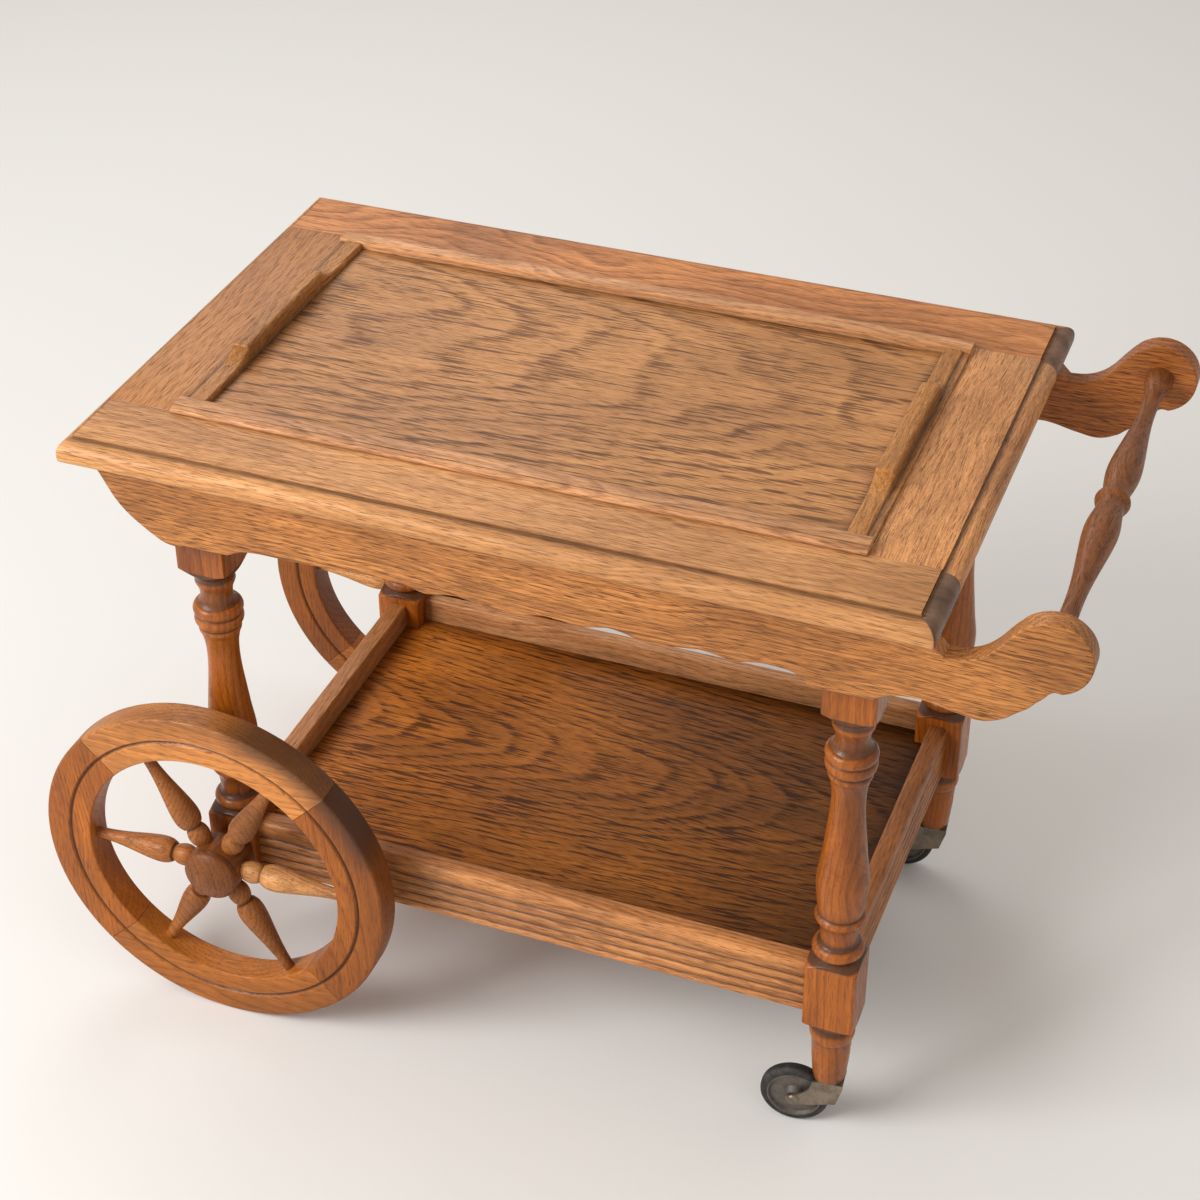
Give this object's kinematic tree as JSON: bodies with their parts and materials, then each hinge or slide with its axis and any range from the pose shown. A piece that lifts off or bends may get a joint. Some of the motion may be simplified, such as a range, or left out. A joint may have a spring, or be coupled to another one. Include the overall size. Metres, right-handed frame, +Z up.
{
  "type": "serving trolley",
  "caption": "Oak serving trolley: framed top with a lift-off tray, turned legs, scalloped side boards with a push bar, low shelf, spoked wheels at one end and swivel casters at the other.",
  "frame": {"origin": "on the floor, under the middle of the whole outline", "axes": "+X along the top towards the push bar and casters, -Y the front, +Z up"},
  "size_m": [0.978, 0.548, 0.6597],
  "materials": {
    "oak_top": "satin stained oak",
    "oak_tray": "satin stained oak",
    "oak_veneer": "satin figured oak veneer",
    "oak_frame": "satin stained oak",
    "oak_wheel": "satin stained oak",
    "steel": "dull bronzed steel",
    "caster_disc": "dull grey-brown",
    "rubber": "matt"
  },
  "bodies": {
    "frame": {"top_rail_front": "oak_top", "side_board_front": "oak_frame", "shelf_rail_front": "oak_frame", "leg_front_left": "oak_frame", "leg_front_right": "oak_frame", "caster_socket_front": "steel", "top_rail_back": "oak_top", "side_board_back": "oak_frame", "shelf_rail_back": "oak_frame", "leg_back_left": "oak_frame", "leg_back_right": "oak_frame", "caster_socket_back": "steel", "top_rail_left": "oak_top", "shelf_rail_left": "oak_frame", "end_apron_left": "oak_frame", "top_rail_right": "oak_top", "shelf_rail_right": "oak_frame", "end_apron_right": "oak_frame", "shelf_panel": "oak_veneer", "push_bar": "oak_frame", "axle_bolts": "steel", "axle_nuts": "steel", "screws": "steel"},
    "tray": {"tray_rail_front": "oak_tray", "tray_rail_back": "oak_tray", "tray_handle_left": "oak_tray", "tray_handle_right": "oak_tray", "tray_panel": "oak_veneer"},
    "front_wheel": {"front_felloe_1": "oak_wheel", "front_felloe_2": "oak_wheel", "front_felloe_3": "oak_wheel", "front_felloe_4": "oak_wheel", "front_spoke_1": "oak_wheel", "front_spoke_2": "oak_wheel", "front_spoke_3": "oak_wheel", "front_spoke_4": "oak_wheel", "front_spoke_5": "oak_wheel", "front_spoke_6": "oak_wheel", "front_hub": "oak_wheel", "front_hub_cap": "oak_wheel"},
    "front_caster": {"caster_fork_front": "steel", "caster_rivet_front": "steel"},
    "front_caster_roller": {"caster_wheel_front": "caster_disc", "caster_tyre_front": "rubber"},
    "back_wheel": {"back_felloe_1": "oak_wheel", "back_felloe_2": "oak_wheel", "back_felloe_3": "oak_wheel", "back_felloe_4": "oak_wheel", "back_spoke_1": "oak_wheel", "back_spoke_2": "oak_wheel", "back_spoke_3": "oak_wheel", "back_spoke_4": "oak_wheel", "back_spoke_5": "oak_wheel", "back_spoke_6": "oak_wheel", "back_hub": "oak_wheel", "back_hub_cap": "oak_wheel"},
    "back_caster": {"caster_fork_back": "steel", "caster_rivet_back": "steel"},
    "back_caster_roller": {"caster_wheel_back": "caster_disc", "caster_tyre_back": "rubber"}
  },
  "joints": [
    {"name": "tray_lift", "type": "slide", "parent": "frame", "child": "tray", "axis": [0, 0, 1], "range_m": [0, 0.25]},
    {"name": "front_wheel_spin", "type": "hinge", "parent": "frame", "child": "front_wheel", "pos_m": [-0.309, -0.245, 0.18], "axis": [0, 1, 0], "continuous": true},
    {"name": "back_wheel_spin", "type": "hinge", "parent": "frame", "child": "back_wheel", "pos_m": [-0.309, 0.245, 0.18], "axis": [0, 1, 0], "continuous": true},
    {"name": "front_caster_swivel", "type": "hinge", "parent": "frame", "child": "front_caster", "pos_m": [0.293, -0.1935, 0.07], "axis": [0, 0, 1], "continuous": true},
    {"name": "front_caster_roll", "type": "hinge", "parent": "front_caster", "child": "front_caster_roller", "pos_m": [0.26217, -0.19674, 0.033], "axis": [-0.1045, 0.9945, 0], "continuous": true},
    {"name": "back_caster_swivel", "type": "hinge", "parent": "frame", "child": "back_caster", "pos_m": [0.293, 0.1935, 0.07], "axis": [0, 0, 1], "continuous": true},
    {"name": "back_caster_roll", "type": "hinge", "parent": "back_caster", "child": "back_caster_roller", "pos_m": [0.26217, 0.19026, 0.033], "axis": [-0.1045, 0.9945, 0], "continuous": true}
  ]
}
